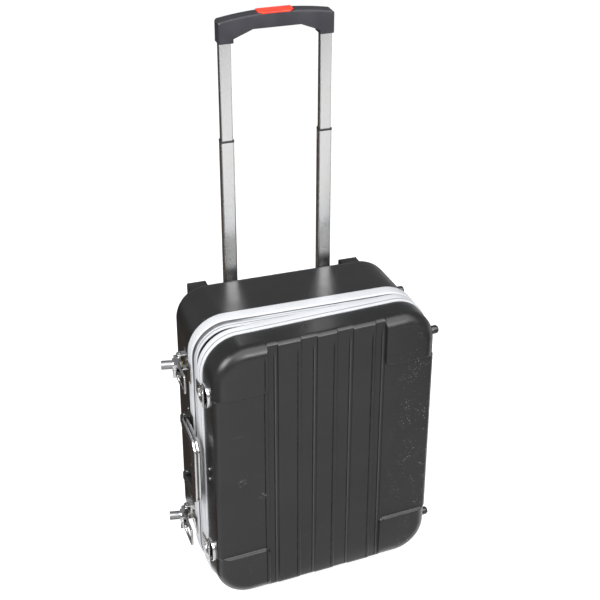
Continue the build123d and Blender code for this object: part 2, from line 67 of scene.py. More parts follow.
# ---------------------------------------------------------------- materials
def tree(name):
    m = bpy.data.materials.new(name)
    m.use_nodes = True
    nt = m.node_tree
    nt.nodes.clear()
    out = nt.nodes.new("ShaderNodeOutputMaterial")
    b = nt.nodes.new("ShaderNodeBsdfPrincipled")
    nt.links.new(b.outputs[0], out.inputs["Surface"])
    tc = nt.nodes.new("ShaderNodeTexCoord")
    return m, nt, b, tc.outputs["Object"]


def scaled(nt, vec, s):
    n = nt.nodes.new("ShaderNodeMapping")
    n.inputs["Scale"].default_value = s
    nt.links.new(vec, n.inputs["Vector"])
    return n.outputs[0]


def noise_tex(nt, vec, scale, detail=3.0, rough=0.55, distortion=0.0):
    n = nt.nodes.new("ShaderNodeTexNoise")
    n.inputs["Scale"].default_value = scale
    n.inputs["Detail"].default_value = detail
    n.inputs["Roughness"].default_value = rough
    n.inputs["Distortion"].default_value = distortion
    nt.links.new(vec, n.inputs["Vector"])
    return n.outputs["Fac"]


def voronoi(nt, vec, scale, feature="F1", randomness=1.0):
    n = nt.nodes.new("ShaderNodeTexVoronoi")
    n.feature = feature
    n.inputs["Scale"].default_value = scale
    n.inputs["Randomness"].default_value = randomness
    nt.links.new(vec, n.inputs["Vector"])
    return n.outputs["Distance"]


def ramp(nt, fac, stops, interp="LINEAR"):
    r = nt.nodes.new("ShaderNodeValToRGB")
    r.color_ramp.interpolation = interp
    e = r.color_ramp.elements
    while len(e) < len(stops):
        e.new(0.5)
    for el, (p, c) in zip(e, stops):
        el.position = p
        el.color = (c, c, c, 1) if isinstance(c, (int, float)) else (*c, 1)
    nt.links.new(fac, r.inputs[0])
    return r.outputs[0]


def remap(nt, fac, a0, a1, b0, b1):
    n = nt.nodes.new("ShaderNodeMapRange")
    for i, v in enumerate((a0, a1, b0, b1)):
        n.inputs[i + 1].default_value = v
    nt.links.new(fac, n.inputs[0])
    return n.outputs[0]


def mul(nt, a, b, op="MULTIPLY"):
    n = nt.nodes.new("ShaderNodeMath")
    n.operation = op
    nt.links.new(a, n.inputs[0])
    if isinstance(b, (int, float)):
        n.inputs[1].default_value = b
    else:
        nt.links.new(b, n.inputs[1])
    return n.outputs[0]


def mix(nt, fac, a, b):
    n = nt.nodes.new("ShaderNodeMix")
    n.data_type = "RGBA"
    nt.links.new(fac, n.inputs["Factor"])
    for sock, v in ((n.inputs[6], a), (n.inputs[7], b)):
        if isinstance(v, tuple):
            sock.default_value = (*v, 1)
        else:
            nt.links.new(v, sock)
    return n.outputs[2]


def bump(nt, b, layers):
    """layers: (height output, distance in m, strength)."""
    last = None
    for h, dist, strength in layers:
        n = nt.nodes.new("ShaderNodeBump")
        n.inputs["Distance"].default_value = dist
        n.inputs["Strength"].default_value = strength
        nt.links.new(h, n.inputs["Height"])
        if last is not None:
            nt.links.new(last, n.inputs["Normal"])
        last = n.outputs[0]
    nt.links.new(last, b.inputs["Normal"])


def plastic(name, lo, hi, rough, grain=1500, grain_d=0.00005, wave_d=0.0, spec=0.5, tone_scale=11, coat=0.0):
    m, nt, b, v = tree(name)
    nt.links.new(ramp(nt, noise_tex(nt, v, tone_scale, 5), [(0.3, lo), (0.7, hi)]), b.inputs["Base Color"])
    rmap = noise_tex(nt, v, 34, 6, 0.6)
    nt.links.new(remap(nt, rmap, 0.3, 0.7, rough[0], rough[1]), b.inputs["Roughness"])
    b.inputs["Specular IOR Level"].default_value = spec
    b.inputs["Coat Weight"].default_value = coat
    b.inputs["Coat Roughness"].default_value = 0.12
    layers = [(noise_tex(nt, v, grain, 2, 0.5), grain_d, 1.0)]
    if wave_d:
        layers.insert(0, (noise_tex(nt, v, 16, 1, 0.4), wave_d, 1.0))
    bump(nt, b, layers)
    return m


def metal(name, lo, hi, rough, metallic=1.0, stretch=(1, 1, 1), grain=900, grain_d=0.00001, tone_scale=20):
    m, nt, b, v = tree(name)
    b.inputs["Metallic"].default_value = metallic
    s = scaled(nt, v, stretch)
    fine = noise_tex(nt, s, grain, 3, 0.6)
    tone = noise_tex(nt, v, tone_scale, 4, 0.6)
    both = mul(nt, fine, tone)
    nt.links.new(ramp(nt, both, [(0.12, lo), (0.42, hi)]), b.inputs["Base Color"])
    nt.links.new(remap(nt, mul(nt, fine, noise_tex(nt, v, 60, 4, 0.7), "ADD"), 0.6, 1.4, rough[0], rough[1]), b.inputs["Roughness"])
    bump(nt, b, [(fine, grain_d, 1.0)])
    return m


def shell_material(name, dust_and_painted_lines):
    """Moulded ABS sheet: fine spark texture, a slight waviness, scuffs, and dust where the case has been handled; on
    the lid also painted highlight lines on the grooves' right lips and painted shade lines in their creases.
    """
    m, nt, b, v = tree(name)
    tone = ramp(nt, noise_tex(nt, v, 9, 6, 0.6), [(0.25, (0.0070, 0.0070, 0.0074)), (0.75, (0.0115, 0.0112, 0.0113))])
    speck_cell = voronoi(nt, v, 260)
    speck_area = noise_tex(nt, v, 14, 3, 0.7, 0.6)
    speck = mul(nt, remap(nt, speck_cell, 0.10, 0.03, 0, 1), remap(nt, speck_area, 0.56, 0.66, 0, 1))
    # hair-thin scuffs: noise stretched along two slanting directions
    scuffs = None
    for i, rot in enumerate((0.55, -0.9)):
        mp = nt.nodes.new("ShaderNodeMapping")
        mp.inputs["Rotation"].default_value = (0, rot, 0)
        mp.inputs["Scale"].default_value = (14, 40, 420)
        mp.inputs["Location"].default_value = (3.1 * i, 0.7, 1.3 * i)
        nt.links.new(v, mp.inputs["Vector"])
        line = remap(nt, noise_tex(nt, mp.outputs[0], 1.0, 2, 0.5), 0.74, 0.79, 0, 1)
        line = mul(nt, line, remap(nt, noise_tex(nt, v, 7 + 4 * i, 2, 0.5), 0.57, 0.70, 0, 0.3))
        scuffs = line if scuffs is None else mul(nt, scuffs, line, "MAXIMUM")
    marks = mul(nt, scuffs, speck, "MAXIMUM")
    if dust_and_painted_lines:
        sep = nt.nodes.new("ShaderNodeSeparateXYZ")
        nt.links.new(v, sep.inputs[0])
        right = remap(nt, sep.outputs[0], XC + 0.110, XC + 0.165, 0.0, 1.0)
        low = remap(nt, sep.outputs[2], ZC + 0.18, ZC + 0.02, 0.35, 1.0)
        dust = remap(nt, voronoi(nt, v, 250), 0.30, 0.16, 0, 1)
        patch = remap(nt, noise_tex(nt, v, 34, 4, 0.75, 0.8), 0.50, 0.62, 0, 0.8)
        dust = mul(nt, mul(nt, dust, patch), mul(nt, right, low))
        # two small scraped spots low on the left
        for sx, sz, rad in ((-0.1385, -0.008, 0.009), (-0.104, -0.042, 0.008)):
            near = nt.nodes.new("ShaderNodeVectorMath")
            near.operation = "DISTANCE"
            flat = nt.nodes.new("ShaderNodeCombineXYZ")
            nt.links.new(sep.outputs[0], flat.inputs[0])
            nt.links.new(sep.outputs[2], flat.inputs[2])
            nt.links.new(flat.outputs[0], near.inputs[0])
            near.inputs[1].default_value = (XC + sx, 0, ZC + sz)
            spot = remap(nt, near.outputs["Value"], rad, rad * 0.35, 0, 1)
            chips = remap(nt, noise_tex(nt, v, 250, 3, 0.7, 1.2), 0.57, 0.64, 0, 0.8)
            dust = mul(nt, dust, mul(nt, spot, chips), "MAXIMUM")
        marks = mul(nt, marks, dust, "MAXIMUM")

        # thin line masks at the given x along the grooves, below the top bend, for the painted highlight and painted
        # shade lines
        def lips(places, half):
            out = None
            for x0 in places:
                d = mul(nt, sep.outputs[0], XC + x0 / 1000, "SUBTRACT")
                a = nt.nodes.new("ShaderNodeMath")
                a.operation = "ABSOLUTE"
                nt.links.new(d, a.inputs[0])
                line = remap(nt, a.outputs[0], half, half * 0.35, 0, 1)
                out = line if out is None else mul(nt, out, line, "MAXIMUM")
            span = remap(nt, sep.outputs[2], ZC + 0.219, ZC + 0.208, 0, 1)
            return mul(nt, mul(nt, out, span), remap(nt, noise_tex(nt, v, 60, 3, 0.7, 0.3), 0.3, 0.6, 0.55, 1.0))

        # Painted highlight: a lighter line on the right lip of each groove, where its rounded edge would catch the
        # light.
        tone = mix(nt, lips((-80.9, -15.9, 44.6, 99.6), 0.0015), tone, (0.040, 0.040, 0.041))
        # Painted shade: dark lines in the groove creases at both walls, with the specular turned down there too.
        painted_crease_shade = lips((-99.4, -44.4, 16.1, 81.1, -82.7, -17.7, 42.8, 97.8), 0.0015)
        tone = mix(nt, painted_crease_shade, tone, (0.003, 0.003, 0.003))
        nt.links.new(remap(nt, painted_crease_shade, 0.0, 1.0, 0.5, 0.16), b.inputs["Specular IOR Level"])
    nt.links.new(mix(nt, marks, tone, (0.24, 0.23, 0.22)), b.inputs["Base Color"])
    rr = remap(nt, noise_tex(nt, v, 27, 6, 0.65), 0.3, 0.7, 0.27, 0.37)
    nt.links.new(mul(nt, rr, mul(nt, marks, 0.25), "ADD"), b.inputs["Roughness"])
    if not dust_and_painted_lines:
        b.inputs["Specular IOR Level"].default_value = 0.5
    bump(nt, b, [(noise_tex(nt, v, 13, 1, 0.4), 0.0007, 1.0),
                 (noise_tex(nt, v, 620, 2, 0.5), 0.00004, 0.6),
                 (noise_tex(nt, v, 1700, 2, 0.6), 0.000030, 0.8)])
    return m


def foam_material(name, lo, hi):
    m, nt, b, v = tree(name)
    cells = voronoi(nt, v, 900)
    soft = noise_tex(nt, v, 140, 5, 0.7)
    nt.links.new(ramp(nt, mul(nt, cells, soft), [(0.05, lo), (0.40, hi)]), b.inputs["Base Color"])
    nt.links.new(remap(nt, soft, 0.3, 0.7, 0.88, 1.0), b.inputs["Roughness"])
    b.inputs["Specular IOR Level"].default_value = 0.2
    b.inputs["Sheen Weight"].default_value = 0.25
    b.inputs["Sheen Roughness"].default_value = 0.6
    bump(nt, b, [(noise_tex(nt, v, 60, 3, 0.6), 0.0008, 0.7), (cells, 0.0006, 0.9)])
    return m


def frame_material(name):
    """Natural anodised extrusion: near-white satin, with painted shade in its drawn lines and in the gap at the top
    left corner.
    """
    m = metal(name, (0.53, 0.54, 0.56), (0.62, 0.63, 0.65), (0.36, 0.50), 0.12, (1, 1, 1), 500, 0.000006, 8)
    nt = m.node_tree
    b = next(n for n in nt.nodes if n.type == "BSDF_PRINCIPLED")
    tone = b.inputs["Base Color"].links[0].from_socket
    a = nt.nodes.new("ShaderNodeAttribute")
    a.attribute_name = "line"
    vec = nt.nodes.new("ShaderNodeTexCoord").outputs["Object"]
    uneven_shade = remap(nt, noise_tex(nt, vec, 30, 3, 0.6), 0.3, 0.7, 0.75, 1.0)
    # Painted shade: the line attribute darkens the drawn lines and the corner gap towards this grey, a little unevenly.
    nt.links.new(mix(nt, mul(nt, a.outputs["Fac"], uneven_shade), tone, (0.055, 0.055, 0.058)), b.inputs["Base Color"])
    return m


M = {
    "lid": shell_material("abs_lid", True),
    "base": shell_material("abs_base", False),
    "frame": frame_material("anodised_frame"),
    "tube": metal("brushed_tube", (0.74, 0.74, 0.735), (0.82, 0.82, 0.815), (0.20, 0.30), 1.0, (1, 1, 0.004), 1800, 0.000003, 1.5),
    "chrome": metal("latch_chrome", (0.46, 0.45, 0.44), (0.76, 0.76, 0.77), (0.07, 0.24), 1.0, (1, 1, 1), 260, 0.00004, 90),
    "bright": metal("strike_chrome", (0.68, 0.68, 0.68), (0.86, 0.86, 0.87), (0.14, 0.32), 1.0, (1, 1, 1), 260, 0.00004, 90),
    "satin": metal("satin_chrome", (0.33, 0.33, 0.335), (0.43, 0.43, 0.44), (0.38, 0.52), 1.0, (1, 1, 1), 500, 0.00002, 90),
    "strip": metal("strip_chrome", (0.62, 0.62, 0.62), (0.80, 0.80, 0.81), (0.10, 0.20), 1.0, (1, 1, 1), 300, 0.00001, 60),
    "brass": metal("plug_brass", (0.55, 0.43, 0.22), (0.80, 0.68, 0.38), (0.16, 0.34), 1.0, (1, 1, 1), 700, 0.00001, 80),
    "steel": metal("zinc_steel", (0.42, 0.42, 0.43), (0.70, 0.70, 0.70), (0.22, 0.42), 1.0, (1, 1, 0.2), 900, 0.00001, 60),
    "handle": plastic("handle_plastic", (0.010, 0.010, 0.011), (0.020, 0.019, 0.019), (0.13, 0.24), 900, 0.00001, 0.0, 0.6, 30, 0.3),
    "bracket": plastic("bracket_black", (0.010, 0.010, 0.010), (0.022, 0.021, 0.020), (0.36, 0.50), 1300, 0.00005, 0.0, 0.5, 40),
    "grip": plastic("grip_plastic", (0.015, 0.015, 0.020), (0.025, 0.025, 0.031), (0.34, 0.46), 1500, 0.00006, 0.0, 0.5, 30),
    "red": plastic("button_red", (0.80, 0.035, 0.016), (0.92, 0.060, 0.028), (0.30, 0.42), 1500, 0.00003, 0.0, 0.5, 60),
    "rubber": plastic("rubber", (0.016, 0.016, 0.016), (0.032, 0.031, 0.030), (0.66, 0.86), 900, 0.0001, 0.0, 0.35, 50),
    "tyre": plastic("tyre_pu", (0.020, 0.020, 0.022), (0.045, 0.043, 0.041), (0.45, 0.70), 700, 0.00012, 0.0, 0.4, 70),
    "hub": plastic("hub_plastic", (0.16, 0.16, 0.17), (0.22, 0.22, 0.23), (0.38, 0.50), 1300, 0.00005, 0.0, 0.5, 50),
    "foam": foam_material("foam_charcoal", (0.020, 0.020, 0.022), (0.075, 0.075, 0.080)),
    "lid_foam": foam_material("foam_egg_crate", (0.030, 0.030, 0.033), (0.105, 0.105, 0.112)),
}


# ---------------------------------------------------------------- mesh helpers
def new_object(name, mesh, material, angle=34):
    mesh.update()
    o = bpy.data.objects.new(name, mesh)
    bpy.context.scene.collection.objects.link(o)
    o.data.materials.clear()
    o.data.materials.append(material)
    mesh.shade_smooth()
    if angle:
        mesh.set_sharp_from_angle(angle=math.radians(angle))
    return o


def finish_bm(bm, name, material, angle=34, matrix=None, merge=2e-6):
    if merge:
        bmesh.ops.remove_doubles(bm, verts=bm.verts, dist=merge)
    bmesh.ops.recalc_face_normals(bm, faces=bm.faces)
    if matrix is not None:
        bm.transform(matrix)
    me = bpy.data.meshes.new(name)
    bm.to_mesh(me)
    bm.free()
    return new_object(name, me, material, angle)


def corner_angles(n):
    return [math.pi / 2 * i / n for i in range(n + 1)]


def rim(inset, xs, zs, n):
    """Points (x, z) round the case outline drawn in by inset, in mm. xs and zs run over the straight stretches."""
    cx, cz = HALF_W - CORNER, HALF_H - CORNER
    pts = []
    r = CORNER - inset
    for x in xs:
        pts.append((x, HALF_H - inset))
    for a in corner_angles(n)[1:-1]:
        pts.append((cx + r * math.sin(a), cz + r * math.cos(a)))
    for z in reversed(zs):
        pts.append((HALF_W - inset, z))
    for a in corner_angles(n)[1:-1]:
        pts.append((cx + r * math.cos(a), -cz - r * math.sin(a)))
    for x in reversed(xs):
        pts.append((x, -HALF_H + inset))
    for a in corner_angles(n)[1:-1]:
        pts.append((-cx - r * math.sin(a), -cz - r * math.cos(a)))
    for z in zs:
        pts.append((-HALF_W + inset, z))
    for a in corner_angles(n)[1:-1]:
        pts.append((-cx - r * math.cos(a), cz + r * math.sin(a)))
    return pts


def loops_to_faces(bm, loops, close):
    n = len(loops[0])
    pairs = list(zip(loops, loops[1:]))
    if close:
        pairs.append((loops[-1], loops[0]))
    for a, b in pairs:
        for i in range(n):
            j = (i + 1) % n
            quad = [a[i], a[j], b[j], b[i]]
            uniq = []
            for q in quad:
                if q not in uniq:
                    uniq.append(q)
            if len(uniq) > 2:
                bm.faces.new(uniq)


def corner_gap(x, z):
    """1 at the top left corner, where the lid stands off a little, 0 along the rest of the rim."""
    ang = math.degrees(math.atan2(z - (HALF_H - CORNER), -(x + (HALF_W - CORNER))))
    if x > -(HALF_W - CORNER) + 60 or z < HALF_H - CORNER - 70:
        return 0.0
    if x > -(HALF_W - CORNER):
        t = 1 - (x + (HALF_W - CORNER)) / 60
    elif z < HALF_H - CORNER:
        t = 1 - (HALF_H - CORNER - z) / 70
    else:
        t = 1.0
    return t * t * (3 - 2 * t) if 0 <= ang <= 180 or t < 1 else t


def swept_frame(name, profile, material, matrix=None, n=28, gap=()):
    """A closed section (inset, y) in mm swept round the case outline.
    gap lists (profile index, step back in y, darkness) used at the corner where the lid stands off."""
    gap = {k: (dy, dark) for k, dy, dark in gap}
    cx, cz = HALF_W - CORNER, HALF_H - CORNER
    xs = [-cx, -cx + 15, -cx + 30, -cx + 45, -cx + 60, -cx / 2, 0, cx / 2, cx]
    zs = [-cz, -cz / 2, 0, cz / 2, cz - 70, cz - 52, cz - 35, cz - 17, cz]
    bm = bmesh.new()
    loops = []
    shade = []
    for k, (inset, y, *dark) in enumerate(profile):
        dy, black = gap.get(k, (0.0, 0.0))
        line = [(x, z, corner_gap(x, z) if k in gap else 0.0) for x, z in rim(inset, xs, zs, n)]
        loops.append([bm.verts.new(P(x, y + dy * g, z)) for x, z, g in line])
        # painted shade: darkness of the drawn lines and of the corner gap, kept per point for the line attribute
        shade += [max(dark[0] if dark else 0.0, black * g) for x, z, g in line]
    loops_to_faces(bm, loops, True)
    o = finish_bm(bm, name, material, 40, matrix, 0)
    att = o.data.attributes.new("line", "FLOAT", "POINT")
    att.data.foreach_set("value", shade)
    return o


def refined(node, material, bevel=0.0004, segments=2, angle=30, name=None, smooth=38, weld=4e-6):
    """The node's own solid with its sharp edges rounded over, as a new piece that stands for it."""
    src = frame["nodes"][node]
    bm = bmesh.new()
    bm.from_mesh(src.data)
    bmesh.ops.remove_doubles(bm, verts=bm.verts, dist=weld)
    bmesh.ops.dissolve_limit(bm, angle_limit=math.radians(0.6), verts=bm.verts, edges=bm.edges, use_dissolve_boundaries=False)
    if bevel:
        edges = [e for e in bm.edges if len(e.link_faces) == 2 and e.calc_face_angle(0) > math.radians(angle)]
        bmesh.ops.bevel(bm, geom=edges, offset=bevel, offset_type="OFFSET", segments=segments, profile=0.5,
                        affect="EDGES", clamp_overlap=True, miter_outer="ARC")
    bmesh.ops.triangulate(bm, faces=[f for f in bm.faces if len(f.verts) > 4], quad_method="BEAUTY", ngon_method="BEAUTY")
    o = finish_bm(bm, name or node + "_visual", material, smooth, None, 1e-6)
    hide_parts(node)
    return o


def smoothstep(t):
    t = np.clip(t, 0.0, 1.0)
    return t * t * (3 - 2 * t)


# ---------------------------------------------------------------- lid shell
PAD_Y, LAND_Y, GROOVE_Y = 69.5, 64.7, 62.4
GROOVES = ((16.5, 44.0), (81.5, 99.0))
PAD_X, PAD_Z = 99.5, HALF_H - 85.0


def groove_weight(x):
    a = abs(x)
    w = 0.0
    for lo, hi in GROOVES:
        w = max(w, float(smoothstep((a - (lo - 0.4)) / 1.5) * smoothstep(((hi + 0.4) - a) / 1.5)))
    return w


def pad_weight(x, z):
    rc, slope = 9.0, 3.4
    qx, qz = (PAD_X - 0.6 + rc) - abs(x), (PAD_Z - 2.6 + rc) - abs(z)
    d = math.hypot(max(qx, 0), max(qz, 0)) + min(max(qx, qz), 0) - rc   # > 0 outside the pad
    return float(smoothstep(0.5 - d / slope))


def relief(x, z):
    """(height of the lid's face above the parting plane, bend radius at the rim), in mm."""
    g, p = groove_weight(x), pad_weight(x, z)
    h = LAND_Y - (LAND_Y - GROOVE_Y) * g
    h = h + (PAD_Y - h) * p
    r = 9.0 - 2.0 * g * (1 - p) + 11.5 * p
    return h, r


def stations(limit, hot, fine, span, coarse):
    """Coordinates from -limit to limit, close together near the hot values."""
    vals = {0.0, limit}
    x = 0.0
    while x < limit:
        vals.add(x)
        if any(abs(x - h) < span for h in hot):
            x += fine
        else:
            ahead = [h - span + 1e-4 for h in hot if h - span > x]
            x = min([x + coarse] + ahead)
    vals = sorted(v for v in vals if v <= limit)
    out = [vals[0]]
    for v in vals[1:]:
        if v - out[-1] > fine * 0.45:
            out.append(v)
    out[-1] = limit
    return [-v for v in reversed(out) if v > 0] + out


def lid_shell_piece():
    cx, cz = HALF_W - CORNER, HALF_H - CORNER
    xs = stations(cx, [16.9, 43.6, 81.9, 98.9], 0.42, 2.4, 4.5)
    zs = stations(cz, [PAD_Z, PAD_Z + 6], 0.7, 8.0, 6.0)
    n = 26
    draft = (4.6 - 2.4) / (69.5 - 20.2)
    start = 20.2
    bend = [math.pi / 2 * i / 14 for i in range(15)]
    flat = [0.15, 0.32, 0.5, 0.7, 0.86, 1.0]
    wall = [0.0, 0.25, 0.5, 0.75, 1.0]
    nk = len(wall) + len(bend) - 1 + len(flat)

    def section(k, h, r):
        w_end = h - r
        inset_end = 2.4 + (w_end - start) * draft
        if k < len(wall):
            y = start + (w_end - start) * wall[k]
            return 2.4 + (y - start) * draft, y
        k -= len(wall)
        if k < len(bend) - 1:
            a = bend[k + 1]
            return inset_end + r * (1 - math.cos(a)), w_end + r * math.sin(a)
        k -= len(bend) - 1
        i0 = inset_end + r
        return i0 + (CORNER - i0) * flat[k], h

    bm = bmesh.new()
    base_rim = rim(0, xs, zs, n)
    local = [relief(x, z) for x, z in base_rim]
    loops = []
    insets = np.zeros((nk, len(base_rim)))
    for k in range(nk):
        loop = []
        for i, (h, r) in enumerate(local):
            inset, y = section(k, h, r)
            insets[k, i] = inset
            bx_, bz_ = base_rim[i]
            # move from the outline towards its inside by inset
            if abs(bx_) <= cx + 1e-9:
                x, z = bx_, math.copysign(HALF_H - inset, bz_)
            elif abs(bz_) <= cz + 1e-9:
                x, z = math.copysign(HALF_W - inset, bx_), bz_
            else:
                ox, oz = math.copysign(cx, bx_), math.copysign(cz, bz_)
                dx, dz = (bx_ - ox) / CORNER, (bz_ - oz) / CORNER
                x, z = ox + dx * (CORNER - inset), oz + dz * (CORNER - inset)
            if k >= len(wall) + len(bend) - 1:
                y = relief(x, z)[0]
            loop.append(bm.verts.new(P(x, -y, z)))
        loops.append(loop)
    loops_to_faces(bm, loops, False)
    grid = [[bm.verts.new(P(x, -relief(x, z)[0], z)) for x in xs] for z in zs]
    for j in range(len(zs) - 1):
        for i in range(len(xs) - 1):
            bm.faces.new([grid[j][i], grid[j][i + 1], grid[j + 1][i + 1], grid[j + 1][i]])
    # inside of the shell: plain walls 3 mm in, and the rim between the two
    inner = [(5.4, start), (5.4 + (55 - start) * draft, 55.0), (8.2, 58.0), (12.0, 59.3), (30.0, 59.4), (CORNER, 59.4)]
    iloops = [loops[0]]
    for inset, y in inner:
        iloops.append([bm.verts.new(P(x, -y, z)) for x, z in rim(inset, xs, zs, n)])
    loops_to_faces(bm, iloops, False)
    igrid = [[bm.verts.new(P(x, -59.4, z)) for x in xs] for z in zs]
    for j in range(len(zs) - 1):
        for i in range(len(xs) - 1):
            bm.faces.new([igrid[j][i], igrid[j][i + 1], igrid[j + 1][i + 1], igrid[j + 1][i]])
    bmesh.ops.remove_doubles(bm, verts=bm.verts, dist=1e-5)
    bad = [f for f in bm.faces if f.calc_area() < 1e-12]
    bmesh.ops.delete(bm, geom=bad, context="FACES_ONLY") if bad else None
    o = finish_bm(bm, "lid_shell_visual", M["lid"], 60, LID, 0)
    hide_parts("lid_shell")
    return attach(o, "lid")


lid_shell = lid_shell_piece()

# ---------------------------------------------------------------- aluminium frames
# section points (inset, y) in mm; a third value paints shade into that drawn line
base_profile = [
    (2.4, 21.8), (0.9, 21.8), (0.35, 21.6), (0.05, 21.1), (-0.25, 18.0), (-0.38, 14.0), (-0.40, 11.0), (-0.38, 8.0), (-0.25, 4.2),
    (0.0, 1.0), (0.25, 0.4), (0.8, 0.0), (2.2, 0.0), (2.6, 0.0, 1.0), (3.0, 0.9, 1.0), (3.9, 0.9, 1.0), (4.0, -0.6, 1.0), (3.65, -1.0, 0.4), (3.55, -1.6),
    (3.45, -5.0), (3.45, -5.6, 0.7), (4.0, -5.8, 0.8), (4.0, -6.4, 0.8), (3.45, -6.6, 0.7), (3.42, -7.2),
    (3.42, -10.6), (3.5, -11.2, 0.8), (4.2, -11.4, 0.9), (4.2, -12.1, 0.9), (3.5, -12.3, 0.8), (3.5, -12.9), (3.5, -15.8), (3.65, -16.6), (4.2, -17.0),
    (5.3, -17.0), (5.85, -16.7), (6.0, -16.1), (6.0, 2.0), (2.4, 2.0)]
# At the top left corner painted shade darkens the base frame's parting step and tongue lines into a dark gap next to
# the lid; the shape is unchanged there.
base_frame = swept_frame("base_frame_visual", base_profile, M["frame"],
                         gap=[(12, 0.0, 1.0), (17, 0.0, 1.0), (18, 0.0, 1.0), (19, 0.0, 1.0)])
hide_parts("base_frame")
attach(base_frame, "base")

lid_profile = [
    (2.4, 0.3), (0.9, 0.3), (0.35, 0.5), (0.05, 1.0), (-0.20, 3.6), (-0.30, 7.0), (-0.30, 9.5), (-0.18, 12.8), (0.0, 14.6), (0.15, 15.0, 0.8),
    (1.1, 15.2, 1.0), (1.1, 16.0, 1.0), (0.1, 16.2, 0.8), (-0.15, 16.6), (-0.36, 17.8), (-0.42, 18.9), (-0.36, 20.1), (-0.1, 21.1), (0.3, 21.6), (0.9, 21.7),
    (2.4, 21.7), (2.4, 20.2), (9.0, 20.2), (9.0, 18.6), (2.4, 18.6)]
# At the top left corner the lid frame's inner edge steps back up to 3 mm, and painted shade darkens the stepped-back
# edge into a dark gap.
lid_frame = swept_frame("lid_frame_visual", [(i, -y, *d) for i, y, *d in lid_profile], M["frame"], LID,
                        gap=[(0, -3.0, 1.0), (1, -3.0, 1.0), (2, -3.0, 1.2), (3, -2.9, 0.9), (4, -1.2, 0.0)])
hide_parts("lid_frame")
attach(lid_frame, "lid")

# ---------------------------------------------------------------- hard parts with rounded edges
RECIPE = {   # node: (material, bevel m, segments)
    "base_shell": ("base", 0.0, 1),
    "hinge_leaves_base": ("steel", 0.00025, 1), "hinge_leaves_lid": ("steel", 0.00025, 1), "hinge_pins": ("steel", 0.0, 1),
    "frame_rivets": ("bracket", 0.0006, 2), "side_feet_base": ("handle", 0.0012, 3), "side_feet_lid": ("handle", 0.0012, 3),
    "lid_rivets": ("steel", 0.0005, 2), "lid_seal": ("rubber", 0.0, 1),
    "handle_brackets": ("bracket", 0.0004, 2), "handle_pins": ("steel", 0.0004, 1), "handle_screws": ("steel", 0.0004, 2),
    "trolley_outer_tubes": ("tube", 0.0, 1), "trolley_mid_tubes": ("tube", 0.0, 1), "trolley_upper_tubes": ("tube", 0.0, 1),
    "trolley_collars": ("bracket", 0.0004, 2), "trolley_top_bracket": ("bracket", 0.0008, 2), "trolley_bottom_bracket": ("bracket", 0.0008, 2),
    "trolley_screws": ("steel", 0.0004, 2), "grip_front": ("grip", 0.0009, 3), "grip_rear": ("grip", 0.0009, 3), "grip_screws": ("steel", 0.0003, 1),
    "release_button": ("red", 0.0006, 3), "release_yoke": ("bracket", 0.0, 1), "button_spring": ("steel", 0.0, 1),
    "rear_skids": ("bracket", 0.0010, 3), "wheel_housings": ("bracket", 0.0006, 2), "wheel_axles": ("steel", 0.0003, 1),
    "left_tyre": ("tyre", 0.0, 1), "right_tyre": ("tyre", 0.0, 1), "left_hub": ("hub", 0.0006, 2), "right_hub": ("hub", 0.0006, 2),
    "front_feet": ("rubber", 0.0005, 2), "carry_handle": ("handle", 0.0012, 3),
}
for n in ("upper", "lower"):
    RECIPE.update({n + "_latch_plate": ("chrome", 0.0004, 2), n + "_latch_pin": ("steel", 0.0003, 1), n + "_latch_lever": ("chrome", 0.0005, 2),
                   n + "_lock_barrel": ("satin", 0.0010, 4), n + "_lock_plug": ("brass", 0.0003, 1), n + "_latch_bail": ("chrome", 0.0, 1),
                   n + "_strike": ("bright", 0.0005, 2)})
BODY = {n: b for b, ns in frame["record"]["behaviour"]["bodies"].items() for n in ns}
for node, (mat, bev, seg) in RECIPE.items():
    o = refined(node, M[mat], bev, seg)
    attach(o, BODY[node])

# ---------------------------------------------------------------- bright strips round the rim of the carry handle
def rounded(pts, times=3):
    """Corner cutting, ends kept."""
    for _ in range(times):
        out = [pts[0]]
        for a, b in zip(pts, pts[1:]):
            out.append((a[0] * 0.75 + b[0] * 0.25, a[1] * 0.75 + b[1] * 0.25))
            out.append((a[0] * 0.25 + b[0] * 0.75, a[1] * 0.25 + b[1] * 0.75))
        pts = out + [pts[-1]]
    return pts


def handle_beads():
    corner = [(14.0, 63.4), (-20.0, 61.6), (-39.0, 60.5), (-46.5, 59.4), (-52.0, 54.6), (-58.6, 47.0), (-60.0, 40.0), (-60.0, 20.0)]
    path = rounded(corner + [(-60.0, 0.0)] + [(y, -z) for y, z in reversed(corner)])
    bm = bmesh.new()
    n = len(path)
    for x_mid in (-205.3, -199.4):
        rings = []
        for i in range(n):
            a, b = path[max(i - 1, 0)], path[min(i + 1, n - 1)]
            t = Vector((b[0] - a[0], b[1] - a[1])).normalized()
            nrm = Vector((-t.y, t.x))
            if nrm.dot(Vector(path[i])) < 0:
                nrm = -nrm
            grow = min(1.0, 0.3 + min(i, n - 1 - i) / 3.0)
            row = []
            for k in range(11):
                ang = math.pi * k / 10
                u, h = math.cos(ang) * 2.3 * grow, math.sin(ang) * 1.7 * grow - 0.25
                row.append(bm.verts.new(P(x_mid + u, path[i][0] + nrm.x * h, path[i][1] + nrm.y * h)))
            for u in (-2.3 * grow, 2.3 * grow):
                row.append(bm.verts.new(P(x_mid + u, path[i][0] - nrm.x * 1.2, path[i][1] - nrm.y * 1.2)))
            rings.append(row)
        loops_to_faces(bm, rings, False)
        bm.faces.new(rings[0])
        bm.faces.new(list(reversed(rings[-1])))
    o = finish_bm(bm, "carry_handle_strips", M["strip"], 50, None, 0)
    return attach(o, "carry_handle")


handle_bead_piece = handle_beads()


